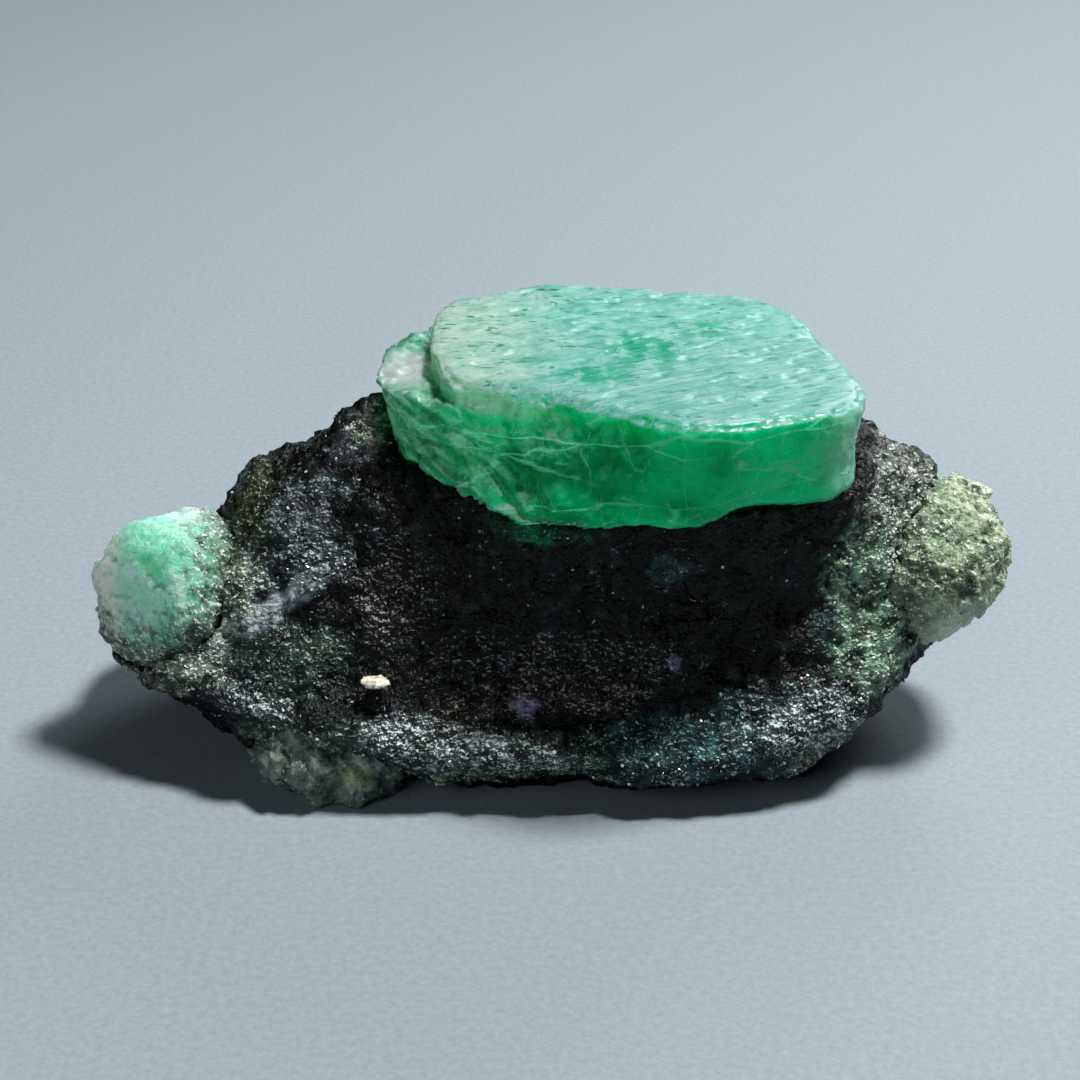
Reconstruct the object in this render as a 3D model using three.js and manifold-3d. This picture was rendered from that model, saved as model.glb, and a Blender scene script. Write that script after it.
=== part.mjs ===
// A raw emerald specimen: a stubby six-sided emerald crystal seated on a lump of black mica schist.
// Millimetres, +Z up. The lump's long side runs along X, -Y is its front, and it stands on the plane Z = 0.
// The origin is a point of the flat patch under the schist that it rests on.
import * as THREE from "three";
import { mergeVertices } from "three/addons/utils/BufferGeometryUtils.js";
import Module from "manifold-3d";

const wasm = await Module();
wasm.setup();

// ---- Driving dimensions ----
const SECTIONS = 42; // sections of the schist along its length
const SECTION_POINTS = 44; // points round each section
const SCHIST_ROUGHNESS = 0.45; // how far its broken surface stands out or in
const SCHIST_GRAIN = 3.2; // size of its lumps
const SEAT_GAP = 0.35; // clearance between a crystal and its socket
const OUTLINE_POINTS = 44; // points round a crystal's outline
const REST_LEVEL = 0;

// The schist's skin is drawn over these rails, which run from its left tip to its right end.
// Each point is [x, y, z]. A section joins the rails in a ring, in this order or its reverse.
const RAILS = {
  crest: [
    [-28, 1, 8], [-24, 4, 11], [-21.5, 3, 12.6], [-19.9, 2, 15.6], [-18.3, 1, 17.8], [-15.8, 1, 18.8],
    [-13, 1, 20.7], [-10.7, 1, 22.1], [-7, 2, 21.4], [0, 2, 21], [12, 2, 21], [19, 1, 21], [22.6, 1, 20],
    [24.3, 1, 18.8], [26, 1, 17], [28, 1, 12],
  ],
  backTop: [
    [-28, 3, 8], [-22, 7, 11], [-15, 7, 16.5], [-8, 8.5, 19.5], [0, 10, 20.2], [10, 10, 20.4],
    [17, 8, 20], [22, 5.5, 18], [28, 2.5, 11.5],
  ],
  back: [
    [-28, 4.5, 7.6], [-22, 8.5, 9], [-15, 10, 11.5], [-5, 12.5, 12], [6, 13.2, 12], [14, 12, 12],
    [20, 9, 12], [28, 3.5, 10.5],
  ],
  backLow: [
    [-28, 4.5, 6.8], [-22, 8, 4.5], [-15, 10.5, 4], [-5, 12.5, 4.5], [6, 13, 4.5], [14, 12, 4.5],
    [20, 9.5, 5], [28, 3.5, 9],
  ],
  baseBack: [
    [-28, 3, 5.4], [-24, 4, 2.5], [-20.5, 5, 1], [-15, 6, -0.4], [-6, 7.5, -0.7], [6, 8, -0.7],
    [14, 7, -0.6], [19, 6, 0.5], [23, 4, 3.5], [28, 2, 8],
  ],
  baseFront: [
    [-28, -1, 5.2], [-24, -4, 2.8], [-20.5, -5, 1.2], [-15, -7, -0.3], [-6, -8.5, -0.7], [6, -9, -0.7],
    [14, -8.5, -0.6], [19, -6, 0.8], [23, -4, 4], [28, -1, 8],
  ],
  rim: [
    [-28, -3.5, 5.6], [-24, -8, 5.8], [-20.5, -9.5, 4.2], [-18.5, -11.5, 3.5], [-15.8, -12.3, 4.4],
    [-11, -12.8, 3.2], [-8.6, -12.5, 1.9], [-3, -12.8, 2.2], [0.3, -12.5, 2.6], [4, -12.5, 1.8],
    [8, -12.8, 1.2], [11.5, -12.5, 1.6], [16.6, -11.3, 1.9], [20, -9.3, 3], [22.2, -8.3, 5],
    [24, -6.8, 7.7], [28, -2, 8.5],
  ],
  ledge: [
    [-28, -5, 6.2], [-24, -9, 7.5], [-20.5, -10.8, 6.5], [-15.8, -13, 6], [-11, -13.8, 4.5],
    [-6, -14.2, 4], [0, -14.2, 4], [6, -14.4, 3.6], [12, -14, 4], [17, -12.8, 5], [21, -10.5, 7],
    [24, -7.3, 8.5], [28, -2.5, 9],
  ],
  shelf: [
    [-28, -5, 6.8], [-24, -8.5, 9], [-20.5, -9.5, 8.2], [-15.8, -10.8, 7.8], [-11, -11.3, 7.5],
    [-6, -11.3, 6.5], [0, -11.3, 5.8], [6, -11.6, 5.4], [12, -11.6, 6], [17, -11.3, 7.5], [21, -9.5, 9],
    [24, -7, 10], [28, -2.5, 10],
  ],
  waist: [
    [-28, -4, 7.4], [-24, -7.5, 11.5], [-20.5, -8, 10.8], [-15.8, -8.3, 11.8], [-11, -8.3, 12.5],
    [-6, -9, 12.3], [0, -9.7, 12.2], [6, -10, 12.2], [12, -10, 12.5], [17, -9.5, 13], [21, -8.2, 13],
    [24, -6, 12.5], [28, -2, 11],
  ],
  brow: [
    [-28, -2, 7.8], [-24, -2.5, 11.5], [-20.5, -3.5, 13.5], [-15.8, -4.3, 17], [-12.5, -3.8, 19.6],
    [-10, -3.8, 21], [-7, -6.3, 20], [-3.5, -8.8, 19.8], [0, -10.6, 19.8], [5, -11.2, 20.2],
    [9.5, -11.6, 20.4], [13.4, -10.8, 20.6], [17, -9, 20.8], [20.6, -5.6, 20.6], [24, -3, 17.4],
    [28, -1, 12],
  ],
};
const LEFT_TIP = [-28.6, 0.5, 7];
const RIGHT_END = [28.8, 1, 10.2];

// The main crystal is an upright six-sided body. Corners are [x, y] of its outline from the left front, at
// its foot and at its head. Its underside leans, and is lowest under its left front corner.
const MAIN_BODY = {
  top: 26.2,
  bevel: 0.5,
  round: 3.6,
  foot: [[-9.5, -5], [-1.3, -12.8], [9.5, -13.8], [20.2, -9.8], [16.6, 8.8], [1, 12.2], [-8.2, 7.2]],
  head: [[-11.6, -3], [-1.2, -6.9], [9.5, -14.6], [20.6, -9.9], [16.4, 9.4], [0.7, 13.1], [-10, 7]],
};
const UNDERSIDE = { low: 18.4, corner: [-1.3, -12.4], slopes: [0.12, 0.24], high: 20.1 };

// What is broken off its left end, down to a shelf: corners [x, y] of the break.
const SHELF = {
  level: 24.5,
  corners: [[-14, -12], [-3.6, -9.4], [-6, -4.6], [-7, 0], [-6.9, 6], [-5, 14], [-14, 14]],
};

// The small crystal at the left tip is a six-sided prism, whose end faces left and forwards.
const LEFT_PRISM = {
  radius: 5.2, length: 9, bevel: 1.2, face: [-25.8, -6.6, 11.4], azimuth: -124, pitch: 14, spin: 18,
};

// Rounded masses. `turn` is degrees about Y. `rough` is how broken the surface is and `grain` the size of its
// lumps, drawn with the noise `seed`. `detail` is how finely the mass is faceted.
const GREEN_NODULE = {
  centre: [25, -1.6, 12], half: [5.6, 6.6, 4.5], turn: -24, rough: 0.5, grain: 2.6, seed: 21, detail: 5,
};
const QUARTZ_FOOT = {
  centre: [-13.5, -9, 2.3], half: [5.3, 4.5, 3.3], turn: 8, rough: 0.45, grain: 2.4, seed: 31, detail: 5,
};
const FELDSPAR_GRAIN = {
  centre: [-10.3, -12, 8.3], half: [1.1, 0.8, 0.45], turn: 4, rough: 0.08, grain: 0.8, seed: 41, detail: 2,
};

// ---- Noise and curves ----

// A number from -1 to 1 that depends only on a lattice point and a seed.
function latticeValue(i, j, k, seed) {
  const s = Math.sin(i * 127.1 + j * 311.7 + k * 74.7 + seed * 53.3) * 43758.5453;
  return 2 * (s - Math.floor(s)) - 1;
}

// Smooth noise from -1 to 1, whose lumps are about `size` across.
function noise(point, size, seed) {
  const at = point.toArray().map((c) => c / size);
  const cell = at.map(Math.floor);
  const share = at.map((c, n) => THREE.MathUtils.smoothstep(c - cell[n], 0, 1));
  let sum = 0;
  for (let corner = 0; corner < 8; corner++) {
    const step = [corner & 1, (corner >> 1) & 1, corner >> 2];
    const weight = step.reduce((w, s, n) => w * (s ? share[n] : 1 - share[n]), 1);
    sum += weight * latticeValue(cell[0] + step[0], cell[1] + step[1], cell[2] + step[2], seed);
  }
  return sum;
}

// The point of a rail at x, on a smooth curve through its points.
function railAt(rail, x) {
  const last = rail.length - 2;
  let n = rail.findIndex((p) => p[0] > x) - 1;
  n = n < 0 ? (x <= rail[0][0] ? 0 : last) : n;
  const share = (x - rail[n][0]) / (rail[n + 1][0] - rail[n][0]);
  const slope = (m, axis) => {
    const before = rail[Math.max(m - 1, 0)];
    const after = rail[Math.min(m + 1, last + 1)];
    return (after[axis] - before[axis]) / (after[0] - before[0]);
  };
  const width = rail[n + 1][0] - rail[n][0];
  const value = (axis) => {
    const [a, b] = [rail[n][axis], rail[n + 1][axis]];
    const [sa, sb] = [slope(n, axis) * width, slope(n + 1, axis) * width];
    const t = share;
    return a + sa * t + (3 * (b - a) - 2 * sa - sb) * t * t + (2 * (a - b) + sa + sb) * t * t * t;
  };
  return new THREE.Vector3(x, value(1), value(2));
}

// The middle of a ring of points.
function middle(ring) {
  return ring.reduce((sum, p) => sum.add(p), new THREE.Vector3()).divideScalar(ring.length);
}

// ---- Building solids ----

// A closed geometry through rings with the same number of points each, from a start to an end point.
function skin(rings, start, end) {
  const count = rings[0].length;
  const points = [start, ...rings.flat(), end];
  const faces = [];
  const id = (ring, n) => 1 + ring * count + (n % count);
  for (let n = 0; n < count; n++) {
    faces.push(0, id(0, n + 1), id(0, n));
    faces.push(points.length - 1, id(rings.length - 1, n), id(rings.length - 1, n + 1));
    for (let ring = 0; ring + 1 < rings.length; ring++) {
      const [a, b, c, d] = [id(ring, n), id(ring, n + 1), id(ring + 1, n + 1), id(ring + 1, n)];
      faces.push(a, b, c, a, c, d);
    }
  }
  return new THREE.BufferGeometry().setFromPoints(points).setIndex(faces);
}

// Moves each vertex along its own normal by a broken, lumpy amount.
function roughen(geometry, depth, size, seed) {
  geometry.computeVertexNormals();
  const place = geometry.attributes.position;
  const normal = geometry.attributes.normal;
  const point = new THREE.Vector3();
  const out = new THREE.Vector3();
  for (let n = 0; n < place.count; n++) {
    point.fromBufferAttribute(place, n);
    out.fromBufferAttribute(normal, n);
    const lumps = noise(point, size, seed) + 0.5 * noise(point, size / 2, seed + 1);
    point.addScaledVector(out, depth * lumps);
    place.setXYZ(n, point.x, point.y, point.z);
  }
  return geometry;
}

// A geometry as a manifold-3d solid, and back.
function solid(geometry) {
  const bare = new THREE.BufferGeometry().setAttribute("position", geometry.getAttribute("position"));
  bare.setIndex(geometry.index);
  const merged = mergeVertices(bare, 1e-4);
  const mesh = new wasm.Mesh({
    numProp: 3,
    vertProperties: merged.attributes.position.array,
    triVerts: new Uint32Array(merged.index.array),
  });
  return new wasm.Manifold(mesh);
}

function geometryOf(manifold) {
  const mesh = manifold.getMesh();
  const geometry = new THREE.BufferGeometry();
  geometry.setAttribute("position", new THREE.BufferAttribute(mesh.vertProperties, 3));
  geometry.setIndex(new THREE.BufferAttribute(mesh.triVerts, 1));
  const faceted = geometry.toNonIndexed();
  faceted.computeVertexNormals();
  return faceted;
}

// Everything above the level that the specimen rests on.
function standing(manifold) {
  const depth = 20;
  const below = new THREE.BoxGeometry(100, 100, depth).translate(0, 0, REST_LEVEL - depth / 2);
  return manifold.subtract(solid(below));
}

// ---- The schist ----

function schistSkin() {
  const rails = Object.values(RAILS).reverse();
  const [first, last] = [rails[0][0][0], rails[0].at(-1)[0]];
  const rings = [];
  for (let n = 0; n < SECTIONS; n++) {
    const x = THREE.MathUtils.lerp(first, last, n / (SECTIONS - 1));
    const section = new THREE.CatmullRomCurve3(rails.map((rail) => railAt(rail, x)), true, "centripetal");
    rings.push(section.getPoints(SECTION_POINTS).slice(0, SECTION_POINTS));
  }
  const skinned = skin(rings, new THREE.Vector3(...LEFT_TIP), new THREE.Vector3(...RIGHT_END));
  return roughen(skinned, SCHIST_ROUGHNESS, SCHIST_GRAIN, 3);
}

// ---- Crystals ----

// A closed outline through [x, y] corners with each corner rounded, moved outwards by `grow`.
function roundedOutline(corners, round, grow = 0) {
  const shape = new THREE.Shape();
  const centre = corners.reduce((sum, c) => sum.add(new THREE.Vector2(...c)), new THREE.Vector2());
  centre.divideScalar(corners.length);
  const grown = corners.map((c) => {
    const out = new THREE.Vector2(...c).sub(centre);
    return out.setLength(out.length() + grow * 1.15).add(centre);
  });
  grown.forEach((corner, n) => {
    const before = grown.at(n - 1).clone().sub(corner).setLength(round).add(corner);
    const after = grown[(n + 1) % grown.length].clone().sub(corner).setLength(round).add(corner);
    if (n === 0) shape.moveTo(before.x, before.y);
    else shape.lineTo(before.x, before.y);
    shape.quadraticCurveTo(corner.x, corner.y, after.x, after.y);
  });
  shape.closePath();
  return shape.getSpacedPoints(OUTLINE_POINTS).slice(0, OUTLINE_POINTS);
}

// An upright prism with bevelled rims, from the outline `foot` to the outline `head`, moved out by `grow`.
// bottomAt(x, y) is the height of its underside.
function prism({ foot, head, bottomAt, top, bevel, round }, grow = 0) {
  const levels = [
    { share: 0, out: grow - bevel, heightAt: (x, y) => bottomAt(x, y) - grow },
    { share: 0.1, out: grow, heightAt: (x, y) => bottomAt(x, y) - grow + bevel },
    { share: 0.5, out: grow, heightAt: (x, y) => (bottomAt(x, y) + top) / 2 },
    { share: 0.9, out: grow, heightAt: () => top + grow - bevel },
    { share: 1, out: grow - bevel, heightAt: () => top + grow },
  ];
  const rings = levels.map(({ share, out, heightAt }) => {
    const corners = foot.map(([x, y], n) => [
      THREE.MathUtils.lerp(x, head[n][0], share),
      THREE.MathUtils.lerp(y, head[n][1], share),
    ]);
    return roundedOutline(corners, round, out).map((p) => new THREE.Vector3(p.x, p.y, heightAt(p.x, p.y)));
  });
  return skin(rings, middle(rings[0]), middle(rings.at(-1)));
}

function undersideAt(x, y) {
  const { low, corner, slopes, high } = UNDERSIDE;
  return Math.min(high, low + slopes[0] * Math.abs(x - corner[0]) + slopes[1] * (y - corner[1]));
}

function mainEmerald(grow = 0) {
  const shelf = new THREE.Shape(SHELF.corners.map(([x, y]) => new THREE.Vector2(x, y)));
  const broken = new THREE.ExtrudeGeometry(shelf, { depth: 5, bevelEnabled: false });
  broken.translate(0, 0, SHELF.level + grow);
  return solid(prism({ ...MAIN_BODY, bottomAt: undersideAt }, grow)).subtract(solid(broken));
}

function leftEmerald(grow = 0) {
  const { radius, length, bevel, face, azimuth, pitch, spin } = LEFT_PRISM;
  const corners = Array.from({ length: 6 }, (_, n) => {
    const turn = THREE.MathUtils.degToRad(60 * n + spin);
    return [radius * Math.cos(turn), radius * Math.sin(turn)];
  });
  const outline = { foot: corners, head: corners, round: 0.9 };
  const body = prism({ ...outline, bottomAt: () => -length, top: 0, bevel }, grow);
  const [a, p] = [azimuth, pitch].map(THREE.MathUtils.degToRad);
  const axis = new THREE.Vector3(Math.cos(a) * Math.cos(p), Math.sin(a) * Math.cos(p), Math.sin(p));
  const upright = new THREE.Vector3(0, 0, 1);
  body.applyQuaternion(new THREE.Quaternion().setFromUnitVectors(upright, axis));
  return solid(body.translate(...face));
}

// ---- Rounded masses ----

function lump({ centre, half, turn, rough, grain, seed, detail }, grow = 0) {
  const ball = new THREE.IcosahedronGeometry(1, detail);
  for (const name of ["normal", "uv"]) ball.deleteAttribute(name);
  const shape = mergeVertices(ball, 1e-4);
  shape.scale(...half.map((h) => h + grow));
  shape.rotateY(THREE.MathUtils.degToRad(turn));
  shape.translate(...centre);
  return solid(roughen(shape, rough, grain, seed));
}

// ---- The specimen ----

const specimen = new THREE.Group();

function addPiece(name, manifold, look) {
  const mesh = new THREE.Mesh(geometryOf(manifold), new THREE.MeshStandardMaterial(look));
  mesh.name = name;
  specimen.add(mesh);
}

// Each inset piece is made twice: as it is, and a little larger, to cut its socket in the schist.
const INSETS = {
  main_emerald: { make: mainEmerald, look: { color: 0x1f9c66, roughness: 0.3, metalness: 0 } },
  left_emerald: { make: leftEmerald, look: { color: 0x7fd8ae, roughness: 0.4, metalness: 0 } },
  green_nodule: {
    make: (grow) => lump(GREEN_NODULE, grow),
    look: { color: 0x77835a, roughness: 0.6, metalness: 0 },
  },
  quartz_foot: {
    make: (grow) => standing(lump(QUARTZ_FOOT, grow)),
    look: { color: 0x44544b, roughness: 0.5, metalness: 0 },
  },
  feldspar_grain: {
    make: (grow) => lump(FELDSPAR_GRAIN, grow),
    look: { color: 0xd8cdb2, roughness: 0.5, metalness: 0 },
  },
};

let schist = standing(solid(schistSkin()));
for (const [name, { make, look }] of Object.entries(INSETS)) {
  schist = schist.subtract(make(SEAT_GAP));
  addPiece(name, make(0), look);
}
addPiece("schist_matrix", schist, { color: 0x17191a, roughness: 0.55, metalness: 0 });

export default specimen;
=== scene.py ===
"""A raw emerald specimen: a six-sided green crystal seated on a lump of black mica schist.

Shapes are made in millimetres and brought to metres when they are finished. Patterns are in millimetres too.
"""

import math

import bmesh
import bpy
from mathutils import Matrix, Vector


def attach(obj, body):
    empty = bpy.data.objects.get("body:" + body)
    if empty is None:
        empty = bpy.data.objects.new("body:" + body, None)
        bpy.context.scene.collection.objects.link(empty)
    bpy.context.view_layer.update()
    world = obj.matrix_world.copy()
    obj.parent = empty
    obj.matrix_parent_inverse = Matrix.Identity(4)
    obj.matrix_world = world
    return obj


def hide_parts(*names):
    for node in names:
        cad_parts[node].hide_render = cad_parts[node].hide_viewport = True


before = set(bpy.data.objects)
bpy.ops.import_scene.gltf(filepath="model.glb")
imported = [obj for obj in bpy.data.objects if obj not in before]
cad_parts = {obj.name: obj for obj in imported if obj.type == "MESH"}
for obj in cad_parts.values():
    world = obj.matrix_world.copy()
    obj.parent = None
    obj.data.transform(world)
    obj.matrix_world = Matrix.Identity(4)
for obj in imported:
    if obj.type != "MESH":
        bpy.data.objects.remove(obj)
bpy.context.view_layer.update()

MM = 0.001  # metres in a millimetre

# ---- Where the finishes lie on the schist ----
# Each oval is its centre and its reach along X, Y and Z in millimetres, and a turn about Y in degrees.

# Silvery mica: partly its own colour and partly painted light, brighter and with more painted glints where
# the rock faces the light.
SILVER_AND_LIT_OVALS = [
    ((-3.5, -13.2, 3.7), (6.2, 3, 1.9), 0),
    ((-9.2, -12.8, 5), (2.6, 2, 1.5), 0),
    ((17.4, -12.2, 5.6), (4.2, 3.2, 2.6), 0),
    ((-16.9, -12.2, 6.3), (2.2, 2.4, 0.8), -20),
    ((23.1, -6.7, 14.2), (1.6, 2.2, 1.3), 0),
]
WRINKLED_OVALS = [
    ((-15.6, -7.4, 13.9), (4.8, 3.6, 1.7), 24),
    ((-15.6, -5, 17), (3.2, 3.6, 1.4), 30),
    ((-19, -6, 13.4), (2.2, 3.4, 2.4), 0),
    ((-6, 12.5, 9), (9, 5, 4), 12),
    ((-20.8, -9.8, 7.6), (4.4, 3.4, 1.5), -12),
]
LEDGE_RUST_OVALS = [((-3, -11.4, 6.3), (4, 2.6, 1.1), 0), ((3.8, -11.1, 6.6), (2.6, 2.2, 1.1), 0)]
LILAC_OVALS = [((-0.9, -11.1, 6.1), (0.9, 1.4, 0.5), 0), ((8.5, -10.7, 9), (0.45, 1.4, 0.5), 0)]
DEEP_GREEN_OVALS = [
    ((-16.4, -9.8, 8.8), (4.8, 3.4, 2.4), 0),
    ((-22, -8, 8.6), (3, 3, 2.2), 0),
    ((-13, -12.8, 4.9), (4.4, 2.6, 1.4), 0),
    ((3, -13.8, 3.6), (1.6, 2.4, 1.8), 0),
    ((11, 12, 7), (8, 5, 5), 0),
]
TEAL_OVALS = [((8.4, -13, 4), (4.8, 3, 2.2), 0), ((13.4, -12.2, 5), (3.4, 3, 2.4), 0)]
SPARSE_OVALS = [((1, -10.6, 8.8), (9, 3, 2.2), 0), ((-9, -8, 13), (3, 4, 4), 0)]
SHARD_OVALS = [((-0.6, -12.2, 17.9), (3.4, 2.6, 0.8), 0)]
# A flat grey mica face; its grey is partly its own colour and partly painted sheen.
SHEEN_STREAK_OVALS = [((-17.9, -8.6, 11), (4.6, 3.6, 0.8), 33)]
BROWN_RIM_OVALS = [((-24.2, -7.6, 7), (4.6, 3.6, 1.5), 12)]
FOOT_EDGE_OVALS = [((-15, -12.6, 4.2), (4.6, 2.8, 1.1), -12)]
GREY_OVALS = [((-15.4, -5.2, 16.8), (2, 2.6, 1.1), 0), ((-11.8, -2.4, 20.6), (1.9, 2.4, 1.2), 0)]
OLIVE_OVALS = [((-18.8, -2, 16), (2.2, 5, 2.8), 0)]
BERYL_OVALS = [
    ((20.8, -8.2, 13.6), (2.6, 3.6, 3.4), 0),
    ((23.4, -6, 12.4), (3.4, 5, 4.4), 0),
    ((21.4, -8.8, 8.6), (2.8, 3.4, 2.2), 0),
]
SHOULDER_OVALS = [((23, -3.6, 18.2), (3.8, 7, 2.6), 0)]
TEAL_SPOT_OVALS = [((7.9, -10.9, 15.5), (1, 2, 1.3), -30), ((18.6, -9.6, 11), (1.6, 2.4, 1.6), 0)]
PALE_RIM_OVALS = [((-4.5, -12.4, 1.6), (8, 3, 0.7), 0), ((17, -10.6, 2.4), (5, 3, 0.9), 14)]
CREAM_OVALS = [
    ((-20.2, -7, 12), (2, 3.2, 3.2), 0),
    ((-22.6, -8.6, 8.2), (2.8, 3, 1.1), 0),
    ((-10.6, -1.8, 21.6), (1.5, 2.4, 1.2), 0),
    ((23.8, -5.8, 16), (2.4, 4, 1.6), 0),
]

# ---- Node helpers ----

NOISE_STEP = (17.3, -9.1, 5.7)  # how far each seed moves a noise
FACET_STEEPNESS = 4.0
RAGGEDNESS = 1.8  # how far noise moves the edge of an oval, as a share of its reach


class Nodes:
    """Adds nodes to a tree. A value given for an input may be a number, a colour, a vector or a socket."""

    def __init__(self, tree):
        self.tree = tree

    def add(self, kind, inputs=None, **settings):
        node = self.tree.nodes.new(kind)
        for name, value in settings.items():
            setattr(node, name, value)
        for key, value in (inputs or {}).items():
            if isinstance(value, bpy.types.NodeSocket):
                self.tree.links.new(value, node.inputs[key])
            elif value is not None:
                node.inputs[key].default_value = value
        return node

    def math(self, operation, a, b=0.0):
        return self.add("ShaderNodeMath", {0: a, 1: b}, operation=operation).outputs[0]

    def plus(self, a, b):
        return self.math("ADD", a, b)

    def minus(self, a, b):
        return self.math("SUBTRACT", a, b)

    def times(self, a, b):
        return self.math("MULTIPLY", a, b)

    def vector(self, operation, a, b=(0, 0, 0)):
        node = self.add("ShaderNodeVectorMath", {0: a, 1: b}, operation=operation)
        return node.outputs["Value" if operation in ("LENGTH", "DOT_PRODUCT") else "Vector"]

    def scaled(self, a, factor):
        return self.add("ShaderNodeVectorMath", {0: a, "Scale": factor}, operation="SCALE").outputs["Vector"]

    def stretched(self, place, x, y, z):
        """The place with its axes scaled, so that a pattern is longest along the smallest of the three."""
        return self.vector("MULTIPLY", place, (x, y, z))

    def shifted(self, place, x=0.0, y=0.0):
        """The place moved along, so that a pattern is read elsewhere."""
        return self.vector("ADD", place, self.add("ShaderNodeCombineXYZ", {0: x, 1: y}).outputs[0])

    def turned(self, place, degrees, axis="Y"):
        """The place turned about an axis through the origin."""
        values = {"Vector": place, "Angle": math.radians(degrees)}
        return self.add("ShaderNodeVectorRotate", values, rotation_type=f"{axis}_AXIS").outputs[0]

    def axes(self, a):
        return self.add("ShaderNodeSeparateXYZ", {0: a}).outputs

    def upward(self):
        """How far each place faces up, from -1 to 1."""
        return self.axes(self.add("ShaderNodeNewGeometry").outputs["Normal"])[2]

    def noise(self, place, size, seed=0, detail=3.0, roughness=0.5, distortion=0.0):
        """Noise from 0 to 1 with lumps about `size` millimetres across."""
        moved = self.vector("ADD", place, tuple(seed * step for step in NOISE_STEP))
        values = {"Vector": moved, "Scale": self.one_over(size), "Detail": detail,
                  "Roughness": roughness, "Distortion": distortion}
        return self.add("ShaderNodeTexNoise", values).outputs[0]

    def cells(self, place, size, feature="F1"):
        """Cells about `size` millimetres across."""
        values = {"Vector": place, "Scale": self.one_over(size)}
        return self.add("ShaderNodeTexVoronoi", values, feature=feature)

    def centred(self, values):
        """Three values from 0 to 1, brought to lie about 0."""
        return self.vector("SUBTRACT", values, (0.5, 0.5, 0.5))

    def facets(self, place, size, bend):
        """Flat broken faces: the cells, and how far each place stands out on its cell's leaning face."""
        noise = self.add("ShaderNodeTexNoise", {"Vector": place, "Scale": self.one_over(size), "Detail": 1.0})
        push = self.scaled(self.centred(noise.outputs["Color"]), self.times(bend, size))
        bent = self.vector("ADD", place, push)
        cells = self.cells(bent, size).outputs
        away = self.vector("SUBTRACT", bent, cells["Position"])
        lean = self.centred(cells["Color"])
        height = self.math("DIVIDE", self.vector("DOT_PRODUCT", away, lean), size)
        return cells, self.times(height, FACET_STEEPNESS)

    def one_over(self, size):
        return self.math("DIVIDE", 1.0, size) if isinstance(size, bpy.types.NodeSocket) else 1.0 / size

    def step(self, value, low, high, to_low=0.0, to_high=1.0):
        """A smooth step, from to_low at low to to_high at high."""
        values = {"Value": value, 1: low, 2: high, 3: to_low, 4: to_high}
        return self.add("ShaderNodeMapRange", values, interpolation_type="SMOOTHSTEP").outputs[0]

    def mix(self, share, a, b):
        """Colour a turning into colour b."""
        node = self.add("ShaderNodeMix", {0: share, 6: colour(a), 7: colour(b)}, data_type="RGBA")
        return node.outputs[2]

    def ramp(self, value, *stops):
        """Colours at places from 0 to 1, such as (0.2, (0.1, 0.1, 0.1))."""
        node = self.add("ShaderNodeValToRGB", {0: value})
        elements = node.color_ramp.elements
        while len(elements) < len(stops):
            elements.new(0.5)
        for element, (place, shade) in zip(elements, stops):
            element.position = place
            element.color = (*shade, 1)
        return node.outputs[0]

    def group(self, tree, **inputs):
        """Places a node group. Input names are given with _ for each space."""
        kind = "GeometryNodeGroup" if tree.bl_idname == "GeometryNodeTree" else "ShaderNodeGroup"
        node = self.add(kind, node_tree=tree)
        for name, value in inputs.items():
            socket = node.inputs[name.replace("_", " ")]
            if isinstance(value, bpy.types.NodeSocket):
                self.tree.links.new(value, socket)
            else:
                socket.default_value = value
        return node.outputs


def colour(value):
    """A colour as a socket takes it."""
    return (*value, 1) if isinstance(value, tuple) and len(value) == 3 else value


def new_tree(name, kind, inputs, outputs):
    """A node tree with named sockets. inputs is a list of (name, type, default) and outputs of (name, type).

    Returns the tree, its helper, its input sockets by name and its output node.
    """
    tree = bpy.data.node_groups.new(name, kind)
    for label, form, default in inputs:
        socket = tree.interface.new_socket(label, in_out="INPUT", socket_type=f"NodeSocket{form}")
        if default is not None:
            socket.default_value = default
    for label, form in outputs:
        tree.interface.new_socket(label, in_out="OUTPUT", socket_type=f"NodeSocket{form}")
    nodes = Nodes(tree)
    return tree, nodes, nodes.add("NodeGroupInput").outputs, nodes.add("NodeGroupOutput")


def put_out(nodes, out, **values):
    """Joins sockets to the outputs of a node tree by name."""
    for name, socket in values.items():
        nodes.tree.links.new(socket, out.inputs[name])


def oval_tree(kind):
    """How much of an oval with a ragged edge covers each place, from 0 to 1."""
    tree, nodes, given, out = new_tree(
        f"Oval {kind}", kind,
        [("Place", "Vector", None), ("Centre", "Vector", None), ("Reach", "Vector", (1, 1, 1)),
         ("Wander", "Float", 0.5), ("Edge", "Float", 0.3)],
        [("Mask", "Float")],
    )
    away = nodes.vector("SUBTRACT", given["Place"], given["Centre"])
    reached = nodes.vector("LENGTH", nodes.vector("DIVIDE", away, given["Reach"]))
    ragged = nodes.plus(reached, given["Wander"])
    outside = nodes.plus(1.0, given["Edge"])
    inside = nodes.minus(1.0, given["Edge"])
    put_out(nodes, out, Mask=nodes.step(ragged, outside, inside))
    return tree


OVAL = {kind: oval_tree(kind) for kind in ("ShaderNodeTree", "GeometryNodeTree")}


def covered(nodes, place, ovals, wander, edge=0.35):
    """The greatest cover of several ovals at a place. `wander` is the noise that makes their edges ragged."""
    tree = OVAL[nodes.tree.bl_idname]
    ragged = nodes.times(nodes.minus(wander, 0.5), RAGGEDNESS)
    turned = {0: place}
    cover = None
    for centre, reach, turn in ovals:
        if turn not in turned:
            turned[turn] = nodes.turned(place, turn)
        middle = Matrix.Rotation(math.radians(turn), 3, "Y") @ Vector(centre)
        looks = {"Centre": middle, "Reach": reach, "Edge": edge}
        one = nodes.group(tree, Place=turned[turn], Wander=ragged, **looks)["Mask"]
        cover = one if cover is None else nodes.math("MAXIMUM", cover, one)
    return cover


# ---- Shader groups ----

# Glints are painted highlights, on the side of each bump that faces the light.
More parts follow.
